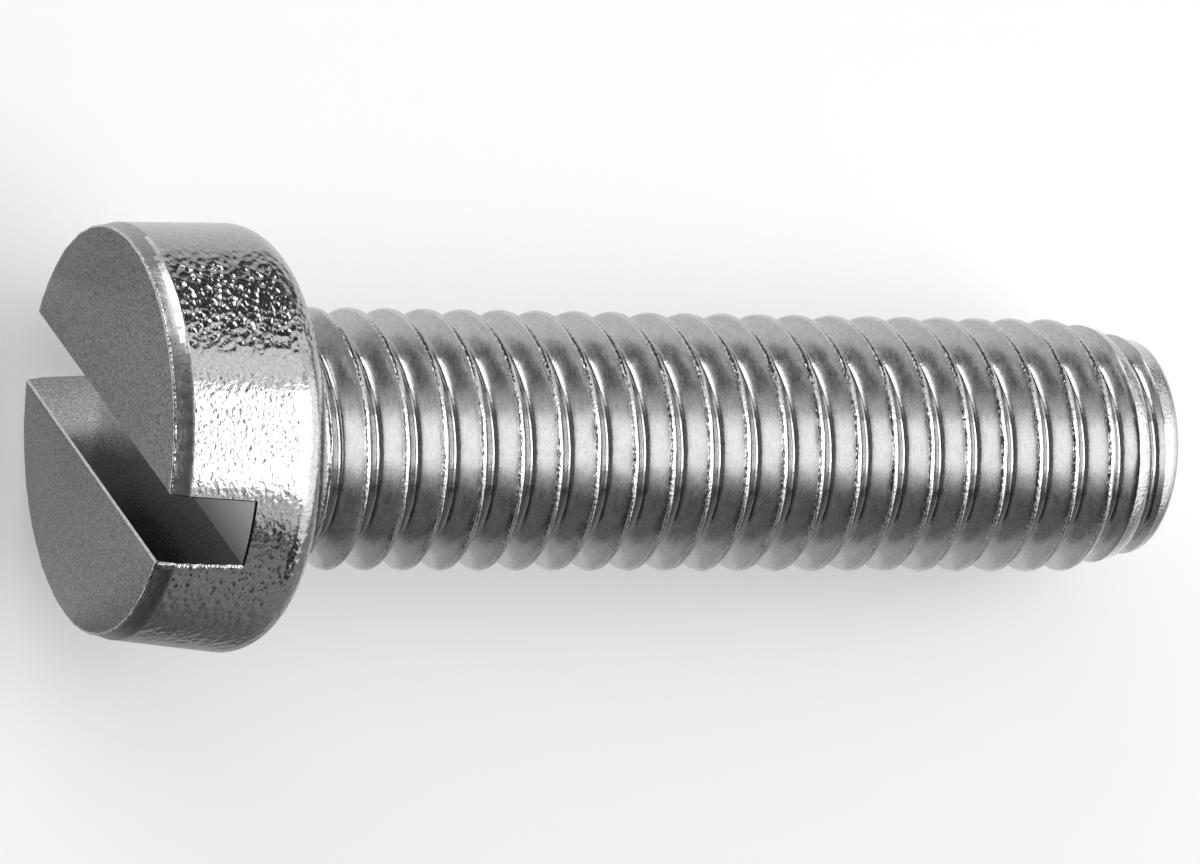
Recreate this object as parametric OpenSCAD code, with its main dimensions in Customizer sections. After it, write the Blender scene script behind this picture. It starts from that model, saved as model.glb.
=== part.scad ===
// Slotted cheese head machine screw with a metric thread that runs up to the head.
// The screw lies on a flat surface, on the round rim of its head and on one of its last crests.
// The origin is on the screw's axis, in the plane of the bearing face under the head.
// +Z is up and +X runs towards the tip.

/* [Head] */
// Largest diameter of the head, beside its bearing face
head_d = 12.8; // [11:0.1:18]
// Height of the head, from the bearing face to the driver face
head_h = 5; // [3.5:0.1:8]
// Inward slope of the head's side towards the driver face, in degrees
head_draft = 3.5; // [0:0.1:5]
// Radius of the round rim between the head's side and the bearing face
rim_round = 1.1; // [0.2:0.1:1.5]
// Length along the axis of the turned edge round the driver face
edge_len = 0.45; // [0.1:0.05:1]
// How much smaller in radius that edge makes the driver face
edge_drop = 0.09; // [0.05:0.01:0.5]
// Radius of the fillet between the bearing face and the neck
neck_fillet = 0.4; // [0.1:0.05:0.6]

/* [Slot] */
// Width of the screwdriver slot at its mouth
slot_w = 2.2; // [1:0.1:3]
// Depth of the screwdriver slot
slot_depth = 2.6; // [1:0.1:3]
// Inward slope of each of the slot's walls, in degrees
slot_draft = 1.5; // [0:0.5:4]
// Angle of the slot round the axis, from upright
slot_clock = 27; // [0:1:180]

/* [Thread] */
// Major diameter of the thread
thread_d = 7.9; // [6:0.1:9]
// Distance from one crest to the next
pitch = 1.25; // [1:0.05:1.5]
// Length of the shank, from the bearing face to the tip
shank_len = 29.8; // [12:0.1:60]
// Diameter of the plain neck, which is the rolled blank's
neck_d = 7.2; // [5:0.1:9]
// Plain length under the head, before the thread starts to rise
plain_len = 0.3; // [0.1:0.1:4]
// Length along the axis over which it rises from the neck to its full height
run_in_len = 0.6; // [0.2:0.1:3]
// Turns over which the groove runs out at the tip
run_out_turns = 0.5; // [0.25:0.25:2]
// Angle round the axis, from straight down, at which a crest would start at the bearing face
crest_clock = 306; // [0:1:359]

/* [Point] */
// Length of the tapered, incomplete thread at the tip
point_len = 2.6; // [1:0.1:5]
// How much smaller in radius that taper makes the tip
point_drop = 0.65; // [0.1:0.05:1]
// Width of the small bevel round the flat end
point_bevel = 0.3; // [0.1:0.05:0.5]

/* [Hidden] */
$fn = 96;
steel = [0.66, 0.66, 0.65];

// Straight steps in one turn of the thread, and in the arc at the root of its groove
turn_steps = 24;
root_steps = 3;
// How far a cutting shape reaches past the surface that it cuts
overcut = 0.5;
// How far the fillet reaches into the neck, and the rod's foot past its first groove
fillet_bite = 0.05;
foot_len = 0.2;

head_r = head_d / 2;
thread_r = thread_d / 2;
neck_r = neck_d / 2;

// ISO metric thread form: a 60 degree V with a flat crest and a round root
half_flank = 30;
sharp_h = pitch / 2 / tan(half_flank);
crest_flat = pitch / 8;
root_r = sharp_h / 6;
root_arc = 90 - half_flank;
groove_depth = sharp_h * 17 / 24;
root_half = root_r * sin(root_arc);
full_lip = (pitch - crest_flat) / 2;

// Centre circle of the round rim, and the end of the head's side at the turned edge
rim_centre_r = head_r - rim_round;
edge_z = edge_len - head_h;
edge_r = rim_centre_r + rim_round / cos(head_draft) + (edge_z + rim_round) * tan(head_draft);

// Distance along the axis to the groove's middle, by ring, and the rings that fit the shank
function ring_z(ring) = pitch * (ring / turn_steps + 1 / 2 - crest_clock / 360);
function ring_at(z) = (z / pitch - 1 / 2 + crest_clock / 360) * turn_steps;
first_ring = floor(ring_at(plain_len + full_lip)) - turn_steps + 1;
last_ring = floor(ring_at(shank_len - point_bevel - 2 * root_half));
rod_foot = ring_z(first_ring) - full_lip - foot_len;

// The crest's radius along the rod, a cylinder with a tapered point, and the thread's rise from the neck
taper_start = shank_len - point_len;
function crest_r(z) = thread_r - point_drop * max(0, z - taper_start) / point_len;
function risen(z, r) = neck_r + (r - neck_r) * min(1, max(0, (z - plain_len) / run_in_len));

// The lying screw tips forward until the first crest below its axis meets the surface
function tip_angle(z, r) =
    atan2(rim_centre_r - r, z + rim_round) + asin(rim_round / norm([z + rim_round, rim_centre_r - r]));
lying_tilt = min([
    for (turn = [1 : floor(shank_len / pitch)])
        let (z = pitch * (turn - crest_clock / 360))
        tip_angle(z, risen(z, crest_r(z)))
]);

// A point at a radius, an angle from straight down and a distance along the screw's axis
function around(r, angle, z) = [r * cos(angle), r * sin(angle), z];
function ring_angle(ring) = 360 * ring / turn_steps;

// How far the groove's V is lifted out of the rod at a ring: fully at the tip, and nil before
function lift(ring) =
    groove_depth * (1 - min(1, (last_ring - ring) / (run_out_turns * turn_steps)));

// The groove's section at a ring, from the lip on the head's side to the lip on the tip's side
function groove_point(ring, offset, depth) =
    let (z = ring_z(ring) + offset)
    around(risen(z, min(crest_r(z), thread_r - depth)), ring_angle(ring), z);
function groove_section(ring) =
    let (
        raised = lift(ring),
        lip_drop = thread_r - crest_r(ring_z(ring)),
        lip = max(full_lip - (raised + lip_drop) * tan(half_flank), root_half * 1.1)
    )
    [
        groove_point(ring, -lip, 0),
        for (k = [0 : root_steps])
            let (turn = root_arc * (2 * k / root_steps - 1))
            groove_point(ring, root_r * sin(turn), groove_depth - root_r * (1 - cos(turn)) - raised),
        groove_point(ring, lip, 0)
    ];

// Two triangles that fill a quad whose corners aren't in one plane
function quad(a, b, c, d) = [[a, b, c], [a, c, d]];

// Threaded rod as one skin: foot ring, helical groove and crest, bevel ring and end ring
module threaded_rod() {
    turns = turn_steps;
    rings = last_ring - first_ring;
    corners = root_steps + 3;
    far = corners - 1;
    groove = [for (ring = [first_ring : last_ring]) each groove_section(ring)];
    foot = [for (k = [0 : turns - 1]) around(neck_r, ring_angle(first_ring + k), rod_foot)];
    bevel_z = shank_len - point_bevel;
    bevel = [for (k = [0 : turns - 1]) around(crest_r(bevel_z), ring_angle(last_ring + k), bevel_z)];
    end_r = crest_r(bevel_z) - point_bevel;
    end = [for (k = [0 : turns - 1]) around(end_r, ring_angle(last_ring + k), shank_len)];
    foot_at = len(groove);
    bevel_at = foot_at + turns;
    end_at = bevel_at + turns;
    near_seam = [for (j = [far : -1 : 0]) j];
    far_seam = [for (j = [0 : far]) rings * corners + j];
    faces = [
        // Groove, strip by strip
        for (i = [0 : rings - 1])
            for (j = [0 : far - 1])
                let (a = i * corners + j)
                each quad(a, a + 1, a + 1 + corners, a + corners),
        // Crest, from one turn's tip side lip to the next turn's head side lip
        for (i = [0 : rings - turns - 1])
            let (a = i * corners + far, b = (i + turns) * corners)
            each quad(a, b, b + corners, a + corners),
        // Plain neck, from the foot ring to the first turn
        [for (k = [0 : turns - 1]) foot_at + k],
        for (k = [0 : turns - 2])
            [foot_at + k, k * corners, (k + 1) * corners, foot_at + k + 1],
        concat([foot_at + turns - 1, (turns - 1) * corners, turns * corners], near_seam, [foot_at]),
        // Point, from the last turn to the bevel ring
        concat(
            [(rings - turns) * corners + far],
            far_seam,
            [bevel_at, bevel_at + 1, (rings - turns + 1) * corners + far]
        ),
        for (k = [1 : turns - 1])
            let (a = (rings - turns + k) * corners + far)
            [a, bevel_at + k, bevel_at + (k + 1) % turns, a + corners],
        // Bevel and flat end
        for (k = [0 : turns - 1])
            [bevel_at + k, end_at + k, end_at + (k + 1) % turns, bevel_at + (k + 1) % turns],
        [for (k = [turns - 1 : -1 : 0]) end_at + k]
    ];
    polyhedron(concat(groove, foot, bevel, end), faces, convexity = 20);
}

// Head as one turned shape, with the fillet that joins it to the neck
module head() {
    fillet_r = neck_r - fillet_bite + neck_fillet;
    rotate_extrude()
        polygon([
            [0, -head_h],
            [edge_r - edge_drop, -head_h],
            [edge_r, edge_z],
            for (a = [0 : 12])
                let (turn = -head_draft + (90 + head_draft) * a / 12)
                [rim_centre_r + rim_round * cos(turn), -rim_round + rim_round * sin(turn)],
            for (a = [0 : 15 : 90])
                [fillet_r - neck_fillet * sin(a), neck_fillet * (1 - cos(a))],
            [0, neck_fillet]
        ]);
}

// Slot across the driver face, a little narrower at its floor
module slot_cutter() {
    slope = tan(slot_draft);
    floor_half = slot_w / 2 - slot_depth * slope;
    mouth_half = slot_w / 2 + overcut * slope;
    rotate([0, 0, slot_clock])
        translate([-head_r - overcut, 0, 0])
            rotate([90, 0, 90])
                linear_extrude(head_d + 2 * overcut)
                    polygon([
                        [-mouth_half, -head_h - overcut],
                        [mouth_half, -head_h - overcut],
                        [floor_half, slot_depth - head_h],
                        [-floor_half, slot_depth - head_h]
                    ]);
}

module machine_screw() {
    color(steel)
        rotate([0, 90 + lying_tilt, 0])
            difference() {
                union() {
                    head();
                    threaded_rod();
                }
                slot_cutter();
            }
}

machine_screw();
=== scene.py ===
from math import asin, atan2, ceil, cos, pi, radians, sin, sqrt, tan

import bmesh
import bpy
from mathutils import Matrix, Vector, noise


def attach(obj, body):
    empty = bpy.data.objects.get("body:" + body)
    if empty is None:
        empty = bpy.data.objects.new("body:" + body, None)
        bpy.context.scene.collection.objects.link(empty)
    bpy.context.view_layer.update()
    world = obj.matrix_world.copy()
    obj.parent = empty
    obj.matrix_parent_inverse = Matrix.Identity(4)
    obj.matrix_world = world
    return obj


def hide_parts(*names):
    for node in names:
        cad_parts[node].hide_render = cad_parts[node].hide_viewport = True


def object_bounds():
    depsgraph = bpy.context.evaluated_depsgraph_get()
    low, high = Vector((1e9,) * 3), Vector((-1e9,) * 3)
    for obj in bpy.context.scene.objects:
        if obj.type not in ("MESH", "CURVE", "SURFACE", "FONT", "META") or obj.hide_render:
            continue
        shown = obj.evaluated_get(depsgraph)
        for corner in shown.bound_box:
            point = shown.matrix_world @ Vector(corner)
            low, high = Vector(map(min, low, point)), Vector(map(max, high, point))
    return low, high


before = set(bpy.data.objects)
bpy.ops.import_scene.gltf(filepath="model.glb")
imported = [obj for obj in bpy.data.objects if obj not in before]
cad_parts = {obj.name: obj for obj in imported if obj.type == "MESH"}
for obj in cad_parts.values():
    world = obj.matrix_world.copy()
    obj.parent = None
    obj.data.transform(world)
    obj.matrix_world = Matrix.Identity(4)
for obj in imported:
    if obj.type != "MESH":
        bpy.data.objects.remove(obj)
cad_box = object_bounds()

# Sizes in millimetres, as in the solids, apart from the turned edge, which is a little longer
HEAD_R, HEAD_H, DRAFT, RIM = 6.4, 5.0, 3.5, 1.1
EDGE_LEN, EDGE_DROP = 0.55, 0.12
NECK_R, NECK_FILLET, FILLET_FOOT = 3.6, 0.4, 3.95
SLOT_HALF, SLOT_DEPTH, SLOT_CLOCK = 1.1, 2.6, 27
SLOT_SLOPE = tan(radians(1.5))
THREAD_R, PITCH, LENGTH, CLOCK = 3.95, 1.25, 29.8, 306
PLAIN, RUN_IN = 0.3, 0.6
POINT_LEN, POINT_DROP, BEVEL = 2.6, 0.65, 0.3
TILT = 5.0932

# ISO metric thread form: a 60 degree V with a flat crest and a round root
FLANK_SLOPE = tan(radians(30))
SHARP_H = PITCH / 2 / FLANK_SLOPE
DEPTH = SHARP_H * 17 / 24
ROOT_R = SHARP_H / 6
ROOT_HALF = ROOT_R * sin(radians(60))
FULL_LIP = PITCH * 7 / 16
LEAST_LIP = ROOT_HALF * 1.1

# Where the fillet meets the neck, where the bevel starts, and the radii of the bearing face's two rings
NECK_Z = NECK_FILLET * (1 - sqrt(1 - ((FILLET_FOOT - NECK_R) / NECK_FILLET) ** 2))
BEVEL_Z = LENGTH - BEVEL
INNER_RING_R, OUTER_RING_R = 4.5, 5.0

# Kinds of surface, in the order of the mesh's materials
MATERIALS = ["side", "edge", "face", "slot", "slot_floor", "burr", "rolled", "painted_seam_shade", "flank", "crest", "root"]

# Straight steps in a turn of the thread, in the head's round side, and in half the slot's width
TURN_STEPS = 120
SIDE_SHARE = 3
SIDE_STEPS = SIDE_SHARE * TURN_STEPS
SLOT_STEPS = 10

# Places across one half of a groove, as shares of its root, its flank and its half crest
ROOT_STOPS, FLANK_STOPS, CREST_STOP = (0.35, 0.68, 1.0), (0.33, 0.68, 0.9, 1.0), 0.4

# Steps across one pitch, from the middle of a crest, that lie in the root and on the two flanks
ROOT_PART, FLANK_PART = range(6, 12), (3, 4, 5, 12, 13, 14)

# Rounding of a groove's lips, on its side towards the tip and on the other
TIP_LIP_ROUND, HEAD_LIP_ROUND = 0.03, 0.1

# Wear of the crests: unevenness and depth in radius, wander along the axis, and the length of its fade
WEAR_ROUGH, WEAR_DEPTH, WEAR_WANDER, WEAR_FADE = 0.012, 0.006, 0.022, 0.3

# Points this near to the neck's or the bevel's ring are that ring's own
JOIN = 0.01

# Round corner of the driver face, as places inwards from its rim and past the face, its unevenness, and the
# short row past the turned edge
CORNER = ((0.07, 0), (0.03, 0.012), (0.007, 0.035), (0, 0.07))
CORNER_LEN = CORNER[-1][1]
CORNER_WEAR = 0.03
EDGE_PAST = 0.06

# Places along the turned edge and its hollow, and rows of the side beside the slot, of the side past it, and
# of the rim
EDGE_STOPS, EDGE_HOLLOW = (0.3, 0.6, 0.85), 1.3
SLOT_ROWS, SIDE_ROWS, RIM_ROWS = 17, 10, 14

# First rows of the turned edge, of its part that may be rolled up, and of the side
EDGE_ROW, ROLLED_ROW, SIDE_ROW = 3, 5, 8

# How far the driver face sits off the axis towards +Y, as the head was made a little off true
HEAD_LEAN = 0.2

# Angles from straight down between which the corner of the side is rolled up, by how much on each row,
# and the share of that height from which the first row and the others get near-white steel, a painted
# highlight
ROLLED_FROM, ROLLED_TO = 112, 158
ROLLED_RISE = {6: 0.015, 7: 0.03, 8: 0.025}
ROLLED_HIGHLIGHT_FIRST, ROLLED_HIGHLIGHT_REST = 0.65, 0.1

# Burr along the slot's lower lip, where the slot comes out: heights of its columns from the lip
BURR_RISE = (0.05, 0.07, 0.02)

# Straight parts of each of the slot's lips, width of their worn chamfer, and how far across from the slot's
# middle line the lower lip begins
LIP_PARTS = 70
CHAMFER = 0.075
LOWER_LIP = -1.0

# Edges sharper than this aren't smoothed, in degrees
SHARP = 32

# From the screw's own frame (z to the tip, x straight down, in mm) to the row frame in metres
PLACE = Matrix.Rotation(radians(90 + TILT), 4, "Y") @ Matrix.Scale(0.001, 4)


def turn_at(z):
    """Turn of the helix, counted from straight down, at which the groove's middle lies at z."""
    return z / PITCH - 0.5 + CLOCK / 360


def crest_r(z):
    return THREAD_R - POINT_DROP * max(0.0, z - (LENGTH - POINT_LEN)) / POINT_LEN


def risen(z, radius):
    """That radius after the thread's rise from the neck."""
    return NECK_R + (radius - NECK_R) * min(1.0, max(0.0, (z - PLAIN) / RUN_IN))


def soft_min(a, b, width):
    """The lesser of two values, rounded off where they are nearer to each other than the width."""
    h = max(0.0, 1 - abs(a - b) / width)
    return min(a, b) - h * h * width / 4


def thread_r(z, s):
    """Radius of the thread at z, at a distance s along the axis from the middle of the nearest groove."""
    if abs(s) <= ROOT_HALF:
        depth = DEPTH - ROOT_R + sqrt(ROOT_R ** 2 - s * s)
    else:
        depth = DEPTH - ROOT_R / 2 - (abs(s) - ROOT_HALF) / FLANK_SLOPE
    return risen(z, soft_min(crest_r(z), THREAD_R - depth, TIP_LIP_ROUND if s > 0 else HEAD_LIP_ROUND))


def thread_section(turn):
    """Points of one pitch, centred on the groove at that turn: distance, radius, and 1 on the crest."""
    middle = PITCH * (turn + 0.5 - CLOCK / 360)
    lip_drop = THREAD_R - crest_r(middle)
    lip = max(FULL_LIP - lip_drop * FLANK_SLOPE, LEAST_LIP)
    half = [ROOT_HALF * f for f in ROOT_STOPS]
    half += [ROOT_HALF + (lip - ROOT_HALF) * f for f in FLANK_STOPS]
    half += [lip + (PITCH / 2 - lip) * CREST_STOP]
    offsets = [-PITCH / 2] + [-s for s in reversed(half)] + [0.0] + half
    return [(middle + s, thread_r(middle + s, s), min(1.0, abs(s) / lip)) for s in offsets]


def head_profile():
    """(radius, distance) from the driver face round to the bearing face, and the slot floor's row."""
    slope = tan(radians(DRAFT))
    centre = HEAD_R - RIM
    edge_z = EDGE_LEN - HEAD_H
    edge_r = centre + RIM / cos(radians(DRAFT)) + (edge_z + RIM) * slope
    floor_z = SLOT_DEPTH - HEAD_H
    face_r = edge_r - EDGE_DROP

    def on_side(z):
        return edge_r + (z - edge_z) * slope, z

    rows = [(face_r - inwards, -HEAD_H + past) for inwards, past in CORNER]
    for f in EDGE_STOPS:
        past = CORNER_LEN + (EDGE_LEN - CORNER_LEN) * f
        rows.append((face_r + EDGE_DROP * f ** EDGE_HOLLOW, -HEAD_H + past))
    start = edge_z + EDGE_PAST
    rows += [on_side(edge_z), on_side(start)]
    rows += [on_side(start + (floor_z - start) * k / SLOT_ROWS) for k in range(1, SLOT_ROWS + 1)]
    floor_row = len(rows) - 1
    rim_z = -RIM - RIM * sin(radians(DRAFT))
    rows += [on_side(floor_z + (rim_z - floor_z) * k / SIDE_ROWS) for k in range(1, SIDE_ROWS + 1)]
    for k in range(1, RIM_ROWS + 1):
        turn = radians(-DRAFT + (90 + DRAFT) * k / RIM_ROWS)
        rows.append((centre + RIM * cos(turn), -RIM + RIM * sin(turn)))
    rows.append((OUTER_RING_R, 0.0))
    return rows, floor_row


def head_lean(z):
    return HEAD_LEAN * max(0.0, (-z - RIM) / (HEAD_H - RIM))


def column_angle(k, radius, z):
    """Angle from the slot's line of the head's column k, so that columns follow the slot's edges."""
    half = SLOT_HALF - (z + HEAD_H) * SLOT_SLOPE
    offset = head_lean(z) * cos(radians(SLOT_CLOCK))
    low, high = asin((-half - offset) / radius), asin((half - offset) / radius)
    half_turn = SIDE_STEPS // 2
    stops = [
        (-SLOT_STEPS, low),
        (SLOT_STEPS, high),
        (half_turn - SLOT_STEPS, pi - high),
        (half_turn + SLOT_STEPS, pi - low),
        (SIDE_STEPS - SLOT_STEPS, 2 * pi + low),
        (SIDE_STEPS + SLOT_STEPS, 2 * pi + high),
    ]
    for (k0, a0), (k1, a1) in zip(stops, stops[1:]):
        if k0 <= k <= k1:
            return a0 + (a1 - a0) * (k - k0) / (k1 - k0)


def rolled(angle):
    """Height, from 0 to about 1.5, of the corner rolled up between the turned edge and the side."""
    along = (angle - radians(ROLLED_FROM)) % (2 * pi) / radians(ROLLED_TO - ROLLED_FROM)
    if along > 1:
        return 0
    rough = 1 + 0.9 * noise.noise(Vector((cos(angle), sin(angle), 0)) * 16 + Vector((0, 0, 5)))
    return min(1, 0.3 + along, (1 - along) * 4) * max(0.2, rough)


def build_screw():
    bm = bmesh.new()
    clock = radians(SLOT_CLOCK)

    def add_face(corners, material):
        face = bm.faces.new(corners)
        face.material_index = MATERIALS.index(material)

    def point(radius, angle, z):
        return bm.verts.new((radius * cos(angle), radius * sin(angle), z))

    # Threaded rod: columns round the axis, rows along the helix, cut off at the neck and the bevel
    first = int(turn_at(NECK_Z)) - 2
    turns = ceil(turn_at(LENGTH)) + 1 - first
    columns = []
    neck, bevel = [], []
    for k in range(TURN_STEPS):
        angle = 2 * pi * k / TURN_STEPS
        neck.append(point(NECK_R, angle, NECK_Z))
        past = (turn_at(BEVEL_Z) - k / TURN_STEPS + 0.5) % 1 - 0.5
        bevel.append(point(thread_r(BEVEL_Z, past * PITCH), angle, BEVEL_Z))
        column = []
        for p in range(turns + 1):
            for z, radius, crest in thread_section(first + p + k / TURN_STEPS):
                if z <= NECK_Z + JOIN:
                    column.append(neck[k])
                elif z >= BEVEL_Z - JOIN:
                    column.append(bevel[k])
                else:
                    here = Vector((radius * cos(angle), radius * sin(angle), z))
                    worn = crest ** 6 * min(1.0, (z - NECK_Z) / WEAR_FADE, (BEVEL_Z - z) / WEAR_FADE)
                    radius += worn * (WEAR_ROUGH * noise.noise(here * 2.6) - WEAR_DEPTH)
                    shift = worn * WEAR_WANDER * noise.noise(here * 1.9 + Vector((7, 3, 5)))
                    column.append(point(radius, angle, z + shift))
        columns.append(column)
    per_turn = len(thread_section(0))
    columns.append(columns[0][per_turn:])
    for a, b in zip(columns, columns[1:]):
        for g in range(min(len(a), len(b)) - 1):
            ring = []
            for v in (a[g], a[g + 1], b[g + 1], b[g]):
                if v not in ring:
                    ring.append(v)
            if len(ring) > 2:
                step = g % per_turn
                add_face(ring, "root" if step in ROOT_PART else "flank" if step in FLANK_PART else "crest")

    # Bevel and flat end, with the groove running out in the bevel
    rings = [bevel]
    for turn in (20, 40, 60, 90):
        a = radians(turn)
        z = BEVEL_Z + BEVEL * sin(a)
        ring = []
        for k, vertex in enumerate(bevel):
            radius = min(Vector(vertex.co[:2]).length + 0.5 * BEVEL * sin(a), crest_r(BEVEL_Z))
            ring.append(point(radius - BEVEL * (1 - cos(a)), 2 * pi * k / TURN_STEPS, z))
        rings.append(ring)

    # Neck fillet, up to the bearing face
    fillet = [neck]
    for turn in (45, 30, 15, 0):
        a = radians(turn)
        radius = FILLET_FOOT - NECK_FILLET * sin(a)
        z = NECK_FILLET * (1 - cos(a))
        fillet.append([point(radius, 2 * pi * k / TURN_STEPS, z) for k in range(TURN_STEPS)])
    fillet.append([point(INNER_RING_R, 2 * pi * k / TURN_STEPS, 0) for k in range(TURN_STEPS)])
    for strip in (rings, fillet):
        for a, b in zip(strip, strip[1:]):
            for k in range(TURN_STEPS):
                n = (k + 1) % TURN_STEPS
                add_face((a[k], b[k], b[n], a[n]), "flank")
    add_face(rings[-1], "flank")

    # Head's side and bearing face, open where the slot comes out
    rows, floor_row = head_profile()
    floor_r, floor_z = rows[floor_row]
    half_turn = SIDE_STEPS // 2
    lower_lip = half_turn + SLOT_STEPS
    side = []
    for j, (radius, z) in enumerate(rows):
        beads = (1 + 1.2 * noise.noise(Vector((z * 4.5, 3, 1)))) if EDGE_ROW <= j < floor_row else 0
        burr = {lower_lip + m: rise * beads for m, rise in enumerate(BURR_RISE)}
        ring = []
        for k in range(SIDE_STEPS):
            a = clock + column_angle(k, radius if j <= floor_row else floor_r, min(z, floor_z))
            worn = CORNER_WEAR * noise.noise(Vector((cos(a), sin(a), 0)) * 14) if j <= EDGE_ROW else 0
            worn += ROLLED_RISE.get(j, 0) * rolled(a)
            vertex = point(radius + worn + burr.get(k, 0), a, z)
            vertex.co.y += head_lean(z)
            ring.append(vertex)
        side.append(ring)

    def in_slot(k):
        return min(k % half_turn, half_turn - 1 - k % half_turn) < SLOT_STEPS

    def side_kind(j, k):
        """Kind of surface between the rows j and j + 1, and the columns k and k + 1."""
        # Where the corner is rolled up enough, its near-white steel is a painted highlight
        if ROLLED_ROW <= j < SIDE_ROW:
            here = side[j][k].co
            if rolled(atan2(here.y, here.x)) > (ROLLED_HIGHLIGHT_FIRST if j == ROLLED_ROW else ROLLED_HIGHLIGHT_REST):
                return "rolled"
        if j < EDGE_ROW or (j < floor_row and lower_lip <= k < lower_lip + 2):
            return "burr"
        return "edge" if j < SIDE_ROW else "side"

    for j in range(len(rows) - 1):
        for k in range(SIDE_STEPS):
            if j >= floor_row or not in_slot(k):
                n = (k + 1) % SIDE_STEPS
                add_face((side[j][k], side[j][n], side[j + 1][n], side[j + 1][k]), side_kind(j, k))
    inner, outer = fillet[-1], side[-1]
    for k in range(TURN_STEPS):
        near = [outer[(SIDE_SHARE * k + m - SLOT_CLOCK) % SIDE_STEPS] for m in range(SIDE_SHARE + 1)]
        add_face([inner[(k + 1) % TURN_STEPS], inner[k]] + near, "side")

    # Driver face in two parts, slot walls and slot floor
    walls = ((SLOT_STEPS, half_turn - SLOT_STEPS), (half_turn + SLOT_STEPS, SIDE_STEPS - SLOT_STEPS))
    for start, end in walls:
        a, b = side[0][start], side[0][end]
        between = [bm.verts.new(a.co.lerp(b.co, m / LIP_PARTS)) for m in range(1, LIP_PARTS)]
        add_face([side[0][k] for k in range(end, start - 1, -1)] + between, "face")
        down = [side[j][end] for j in range(floor_row + 1)]
        up = [side[j][start] for j in range(floor_row, -1, -1)]
        add_face(between + down + up, "slot")
    (a0, a1), (b0, b1) = walls
    ends = [side[floor_row][k] for k in range(a1, b0 + 1)]
    ends += [side[floor_row][k % SIDE_STEPS] for k in range(b1, SIDE_STEPS + a0 + 1)]
    add_face(ends[::-1], "slot_floor")
    unused = [v for v in bm.verts if not v.link_faces]
    bmesh.ops.delete(bm, geom=unused, context="VERTS")
    bmesh.ops.recalc_face_normals(bm, faces=bm.faces)

    # Narrow worn chamfer where the slot's walls and floor meet the face and the side
    slot = {MATERIALS.index("slot"), MATERIALS.index("slot_floor")}
    worn = []
    for edge in bm.edges:
        inside = [face.material_index in slot for face in edge.link_faces]
        if inside.count(True) == 1 and len(inside) == 2:
            worn.append(edge)
    result = bmesh.ops.bevel(
        bm, geom=worn, offset=CHAMFER, offset_type="OFFSET", segments=1, affect="EDGES",
        material=MATERIALS.index("burr"), clamp_overlap=True,
    )

    # Where the slot comes out of the side, all but its lower lip gets near-black steel: a painted shadow line
    # along the slot's mouth
    across = Vector((-sin(clock), cos(clock), 0))
    for face in result["faces"]:
        beside = {other.material_index for edge in face.edges for other in edge.link_faces}
        if MATERIALS.index("side") in beside and face.calc_center_median().dot(across) > LOWER_LIP:
            face.material_index = MATERIALS.index("painted_seam_shade")
    return bm


bm = build_screw()
mesh = bpy.data.meshes.new("machine_screw_visual")
bm.transform(PLACE)
bm.to_mesh(mesh)
bm.free()
mesh.polygons.foreach_set("use_smooth", [True] * len(mesh.polygons))
mesh.set_sharp_from_angle(angle=radians(SHARP))
screw = bpy.data.objects.new("machine_screw_visual", mesh)
bpy.context.collection.objects.link(screw)


class Nodes:
    """Short way to add and join shader nodes."""

    def __init__(self, tree):
        self.tree = tree
        tree.nodes.clear()

    def add(self, kind, inputs, **settings):
        node = self.tree.nodes.new(kind)
        for key, value in settings.items():
            setattr(node, key, value)
        for key, value in inputs.items():
            if isinstance(value, bpy.types.NodeSocket):
                self.tree.links.new(value, node.inputs[key])
            else:
                node.inputs[key].default_value = value
        return node

    def span(self, value, start, end, first, last):
        """A value that goes from first to last while another goes from start to end."""
        inputs = {"Value": value, "From Min": start, "From Max": end, "To Min": first, "To Max": last}
        return self.add("ShaderNodeMapRange", inputs).outputs["Result"]

    def sum(self, a, b):
        return self.add("ShaderNodeMath", {0: a, 1: b}, operation="ADD").outputs[0]

    def product(self, a, b):
        return self.add("ShaderNodeMath", {0: a, 1: b}, operation="MULTIPLY").outputs[0]

    def scaled(self, vector, factor):
        inputs = {0: vector, "Scale": factor}
        return self.add("ShaderNodeVectorMath", inputs, operation="SCALE").outputs["Vector"]

    def stretched(self, vector, sizes):
        inputs = {"Vector": vector, "Scale": tuple(1 / size for size in sizes)}
        return self.add("ShaderNodeMapping", inputs).outputs["Vector"]


# Bands of the head's side, by their Y in mm, in which the strength of its bumps changes, and the last
# band's share of it
LOW_BAND, HIGH_BAND, TOP_BAND = (-4.2, -2.4), (2.2, 3.4), (5.0, 5.7)
TOP_SHARE = 0.15


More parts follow.
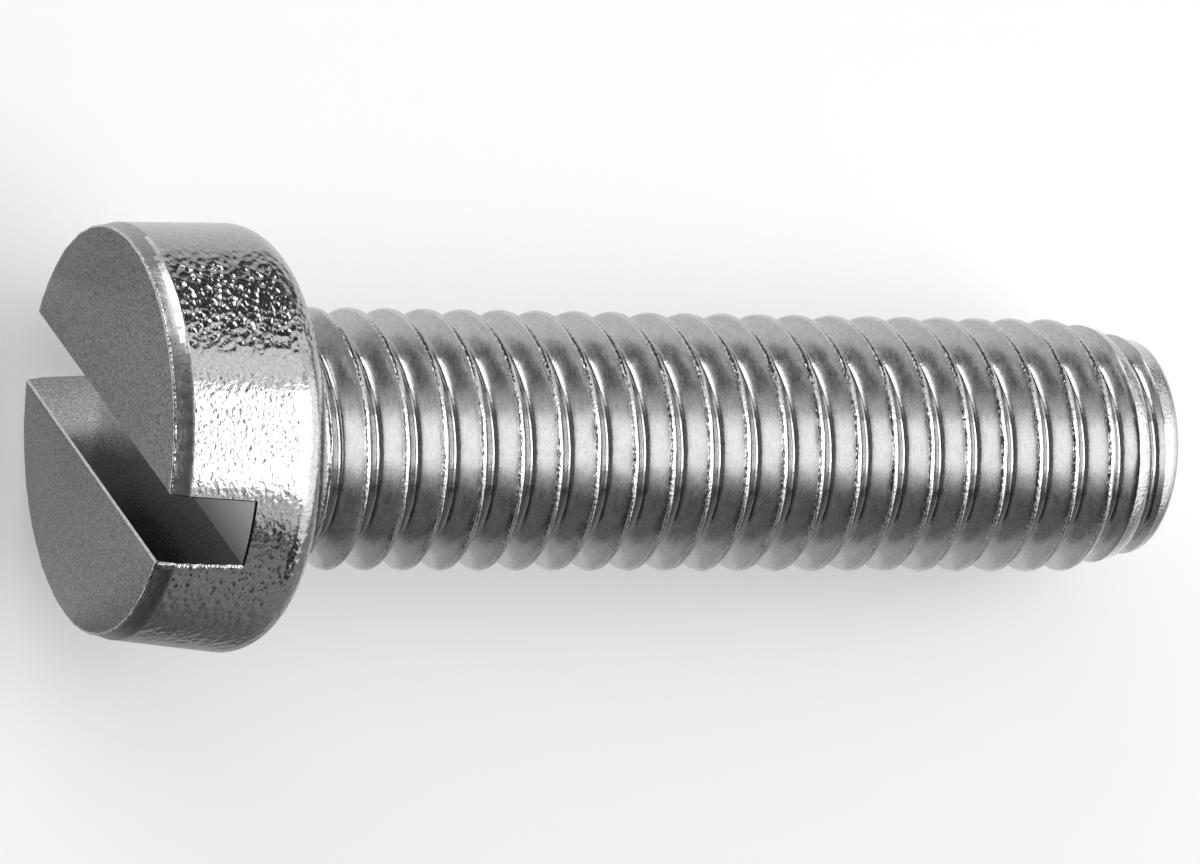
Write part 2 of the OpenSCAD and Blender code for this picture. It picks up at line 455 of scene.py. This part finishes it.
def metal(name, colour, rough, bumps, grain=0.08, spots=(0.28, 0.28, 0.28), painted_slot_shade=None):
    """Steel whose tone varies by the grain, in spots of that size in mm.

    A bump is (kind, size mm, height mm, stretch, where). Its last value is None for everywhere, or its
    strength below, between and above the first two bands. The last argument paints shade and light along
    the slot: (start, end, first, last), the tone's factors at two places in mm along the slot, darker at the
    first place and lighter past the second.
    """
    material = bpy.data.materials.new(name)
    material.use_nodes = True
    n = Nodes(material.node_tree)
    place = n.add("ShaderNodeTexCoord", {}).outputs["Object"]
    own = n.add(
        "ShaderNodeMapping",
        {"Vector": place, "Rotation": (0, radians(-90 - TILT), 0), "Scale": (1000, 1000, 1000)},
    ).outputs["Vector"]
    tone = n.add(
        "ShaderNodeTexNoise",
        {"Vector": n.stretched(own, spots), "Scale": 1, "Detail": 4, "Roughness": 0.7},
    ).outputs["Fac"]
    colours = n.scaled(colour, n.span(tone, 0.35, 0.65, 1 - grain, 1 + grain))
    # Painted shade and painted light: the tone darkens and lightens along the slot
    if painted_slot_shade:
        line = (cos(radians(SLOT_CLOCK)), sin(radians(SLOT_CLOCK)), 0)
        along = n.add("ShaderNodeVectorMath", {0: own, 1: line}, operation="DOT_PRODUCT").outputs["Value"]
        colours = n.scaled(colours, n.span(along, *painted_slot_shade))
    normal = None
    for kind, size, height, stretch, where in bumps:
        grid = {"Vector": n.stretched(own, [size * s for s in stretch]), "Scale": 1}
        if kind == "noise":
            grid.update({"Detail": 1.5, "Roughness": 0.45})
            relief = n.add("ShaderNodeTexNoise", grid).outputs["Fac"]
        else:
            grid["Smoothness"] = 0.6
            relief = n.add("ShaderNodeTexVoronoi", grid, feature="SMOOTH_F1").outputs["Distance"]
        inputs = {"Height": relief, "Distance": height / 1000, "Strength": 1.0}
        if where:
            below, between, above = where
            y = n.add("ShaderNodeSeparateXYZ", {"Vector": own}).outputs["Y"]
            lower, upper = n.span(y, *LOW_BAND, below, between), n.span(y, *HIGH_BAND, 0.0, above - between)
            inputs["Strength"] = n.product(n.sum(lower, upper), n.span(y, *TOP_BAND, 1.0, TOP_SHARE))
        if normal:
            inputs["Normal"] = normal
        normal = n.add("ShaderNodeBump", inputs).outputs["Normal"]
    dull = n.span(tone, 0.3, 0.7, rough - 0.04, rough + 0.05)
    shader = n.add(
        "ShaderNodeBsdfPrincipled",
        {"Base Color": colours, "Metallic": 1.0, "Roughness": dull, "Normal": normal},
    )
    n.add("ShaderNodeOutputMaterial", {"Surface": shader.outputs["BSDF"]})
    return material


# How far bumps are stretched along the screw's own X, Y and Z
even, deep, flat, streak = (1, 1, 1), (2, 1, 1), (2, 2, 1), (5, 5, 1)
steel = (0.58, 0.58, 0.575)
made = {
    "side": metal(
        "steel_side", steel, 0.16,
        [("cells", 0.2, 0.062, deep, (0.6, 0.07, 1.0)), ("noise", 0.13, 0.02, deep, (0.8, 0.45, 0.9))],
        grain=0.16, spots=(0.1, 0.1, 0.1),
    ),
    "edge": metal(
        "steel_edge", (0.45, 0.45, 0.446), 0.3,
        [("noise", 0.2, 0.012, even, None), ("noise", 0.06, 0.003, even, None)],
    ),
    # The driver face's steel is far darker than the rest: painted shade, for the shadowed floor that it
    # mirrors
    "face": metal(
        "steel_face_painted_shade", (0.2, 0.2, 0.197), 0.3, [("noise", 0.05, 0.006, flat, None)],
        grain=0.6, spots=(0.09, 0.06, 0.09),
    ),
    # The slot's walls are dark steel, painted shade in the recess, with their tone graded along the slot:
    # painted shade over most of it and painted light towards one end
    "slot": metal(
        "steel_slot_painted_shade", (0.27, 0.27, 0.266), 0.12, [("noise", 0.07, 0.003, flat, None)],
        grain=0.5, spots=(0.08, 0.08, 0.08), painted_slot_shade=(0.5, 3.0, 0.5, 1.5),
    ),
    # The slot's floor is near-white steel: painted light, brighter than its place deep in the slot would
    # render
    "slot_floor": metal(
        "steel_slot_floor_painted_light", (0.9, 0.9, 0.89), 0.45, [("noise", 0.07, 0.006, flat, None)],
        grain=0.05, spots=(0.1, 0.1, 0.1),
    ),
    "burr": metal("steel_burr", (0.75, 0.75, 0.74), 0.2, [("noise", 0.09, 0.05, even, None)]),
    # Near-white steel on the rolled-up corner: a painted highlight
    "rolled": metal("steel_rolled_highlight", (0.95, 0.95, 0.94), 0.24, [("noise", 0.2, 0.012, even, None)]),
    # Near-black steel along the slot's mouth: a painted shadow line
    "painted_seam_shade": metal("steel_painted_seam_shade", (0.1, 0.1, 0.1), 0.3, [("noise", 0.09, 0.03, even, None)]),
    "flank": metal(
        "steel_flank", steel, 0.25, [("noise", 0.05, 0.0015, streak, None)],
        grain=0.14, spots=(0.25, 0.25, 0.05),
    ),
    "crest": metal("steel_crest", (0.72, 0.72, 0.71), 0.16, [("noise", 0.11, 0.022, even, None)]),
    "root": metal("steel_root", steel, 0.16, [("noise", 0.1, 0.006, even, None)]),
}
for key in MATERIALS:
    mesh.materials.append(made[key])
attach(screw, "root")
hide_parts("machine_screw")


def board(name, left, right, near, far, z, material):
    """Level board between those X and Y, in metres."""
    data = bpy.data.meshes.new(name)
    data.from_pydata([(left, near, z), (right, near, z), (right, far, z), (left, far, z)], [], [(0, 1, 2, 3)])
    data.materials.append(material)
    item = bpy.data.objects.new(name, data)
    bpy.context.collection.objects.link(item)
    return item


# Floor under the screw: pale paper that also glows a little for the camera and in reflections
REACH, PAPER, GLOW = 0.6, 0.7, 0.3
lowest = cad_box[0][2]
paper = bpy.data.materials.new("paper")
paper.use_nodes = True
n = Nodes(paper.node_tree)
path = n.add("ShaderNodeLightPath", {}).outputs
seen = n.sum(n.sum(path["Is Camera Ray"], path["Is Glossy Ray"]), path["Is Transmission Ray"])
diffuse = n.add("ShaderNodeBsdfDiffuse", {"Color": (PAPER, PAPER, PAPER, 1)})
light = n.add("ShaderNodeEmission", {"Color": (1, 1, 1, 1), "Strength": n.product(seen, GLOW)})
both = n.add("ShaderNodeAddShader", {0: diffuse.outputs[0], 1: light.outputs[0]})
n.add("ShaderNodeOutputMaterial", {"Surface": both.outputs[0]})
floor = board("floor", -REACH, REACH, -REACH, REACH, lowest, paper)

# Sheets just above the floor on both sides of the screw, which only show as reflections: painted shade
# that the metal mirrors, pale near the screw and darker away from it. Each has its two X, its near Y, where
# its shade stops changing, its far Y, its shade at the near Y, and its shades from the place where they stop
# changing, at X of -12 mm and +12 mm
SHEET_LIFT, SHADE_X = 0.0002, 0.012
for name, (left, right), (near, dark_at, far), (shade, dark_left, dark_right) in (
    ("shade_sheet_up", (0.008, 0.5), (0.005, 0.036, 0.5), (0.85, 0.05, 0.05)),
    ("shade_sheet_up_left", (-0.3, 0.008), (0.005, 0.036, 0.5), (0.85, 0.35, 0.35)),
    ("shade_sheet_down", (-0.3, 0.5), (-0.006, -0.0135, -0.5), (0.72, 0.02, 0.27)),
):
    mirrored_shade = bpy.data.materials.new(name)
    mirrored_shade.use_nodes = True
    n = Nodes(mirrored_shade.node_tree)
    place = n.add("ShaderNodeTexCoord", {}).outputs["Object"]
    place = n.add("ShaderNodeSeparateXYZ", {"Vector": place}).outputs
    dark = n.span(place["X"], -SHADE_X, SHADE_X, dark_left, dark_right)
    shader = n.add("ShaderNodeBsdfDiffuse", {"Color": n.span(place["Y"], near, dark_at, shade, dark)})
    n.add("ShaderNodeOutputMaterial", {"Surface": shader.outputs[0]})
    sheet = board(name, left, right, near, far, lowest + SHEET_LIFT, mirrored_shade)
    # Painted shade: seen only in reflections, never by the camera
    sheet.visible_camera = sheet.visible_diffuse = sheet.visible_shadow = False

LAMP_DISTANCE = 0.6


def lamp(name, azimuths, elevations, radiance, mirrored=True):
    """Soft lamp that fills those angles round the screw, in degrees from +X and from the ground."""
    data = bpy.data.lights.new(name, "AREA")
    data.shape = "RECTANGLE"
    azimuth = radians(sum(azimuths) / 2)
    elevation = radians(sum(elevations) / 2)
    data.size = 2 * LAMP_DISTANCE * tan(radians(azimuths[1] - azimuths[0]) / 2) * cos(elevation)
    data.size_y = 2 * LAMP_DISTANCE * tan(radians(elevations[1] - elevations[0]) / 2)
    data.energy = radiance * pi * data.size * data.size_y
    lit = bpy.data.objects.new(name, data)
    bpy.context.collection.objects.link(lit)
    way = Vector((cos(elevation) * cos(azimuth), cos(elevation) * sin(azimuth), sin(elevation)))
    across = Vector((-sin(azimuth), cos(azimuth), 0))
    turned = Matrix((across, way.cross(across), way)).transposed()
    lit.matrix_world = Matrix.Translation(way * LAMP_DISTANCE) @ turned.to_4x4()
    lit.visible_camera = False
    lit.visible_glossy = mirrored


# Soft lamps: one overhead and one low before the tip, then pairs at the sides (upper is +Y, as the camera
# sees it), a faint one behind the head, and one for the floor that shows in no reflection
lamp("overhead", (-43, 34), (33, 72), 2.95)
lamp("before_tip", (-28, 22), (0, 33), 1.3)
lamp("upper_corner", (22, 52), (0, 33), 0.8)
lamp("upper_corner_high", (36, 72), (33, 56), 0.95)
lamp("upper_side", (83, 138), (0, 36), 2.4)
lamp("upper_side_high", (86, 138), (36, 50), 1.0)
lamp("lower_corner", (-44, -28), (0, 33), 1.0)
lamp("lower_corner_high", (-68, -44), (33, 54), 0.7)
lamp("lower_side", (-86, -64), (0, 30), 0.24)
lamp("behind", (110, 250), (50, 86), 0.1)
lamp("fill", (40, 140), (50, 85), 1.2, mirrored=False)

# Dark studio, as the metal's dark bands mirror it
WORLD = 0.03
world = bpy.data.worlds.new("studio")
world.use_nodes = True
n = Nodes(world.node_tree)
sky = n.add("ShaderNodeBackground", {"Color": (1, 1, 1, 1), "Strength": WORLD})
n.add("ShaderNodeOutputWorld", {"Surface": sky.outputs[0]})
bpy.context.scene.world = world
bpy.context.scene.view_settings.view_transform = "Standard"

# Camera: how the screw's axis is turned before it, where the bearing face's centre lies in its own frame, in
# metres, and the focal length and picture width in pixels
YAW, DIP = radians(25.10), radians(0.513)
CENTRE = Vector((-10.3565, -0.1787, -241.473)) / 1000
FOCAL_PX, WIDTH_PX, SENSOR = 8089, 1200, 36
own_axis = Vector((cos(radians(TILT)), 0, -sin(radians(TILT))))
own_up = Vector((0, 1, 0))
own_near = Vector((sin(radians(TILT)), 0, cos(radians(TILT))))
seen_axis = Vector((cos(YAW) * cos(DIP), -sin(DIP), -sin(YAW) * cos(DIP)))
seen_near = Vector((sin(YAW), 0, cos(YAW)))
seen_up = seen_near.cross(seen_axis)
rows = [own_axis * seen_axis[k] + own_up * seen_up[k] + own_near * seen_near[k] for k in range(3)]
turned = Matrix(rows).transposed()
eye = -(turned @ CENTRE)
camera_data = bpy.data.cameras.new("camera")
camera_data.lens = FOCAL_PX / WIDTH_PX * SENSOR
camera_data.sensor_width = SENSOR
camera_data.clip_start = 0.01
camera = bpy.data.objects.new("camera", camera_data)
bpy.context.collection.objects.link(camera)
camera.matrix_world = Matrix.Translation(eye) @ turned.to_4x4()
bpy.context.scene.camera = camera

bpy.context.view_layer.update()
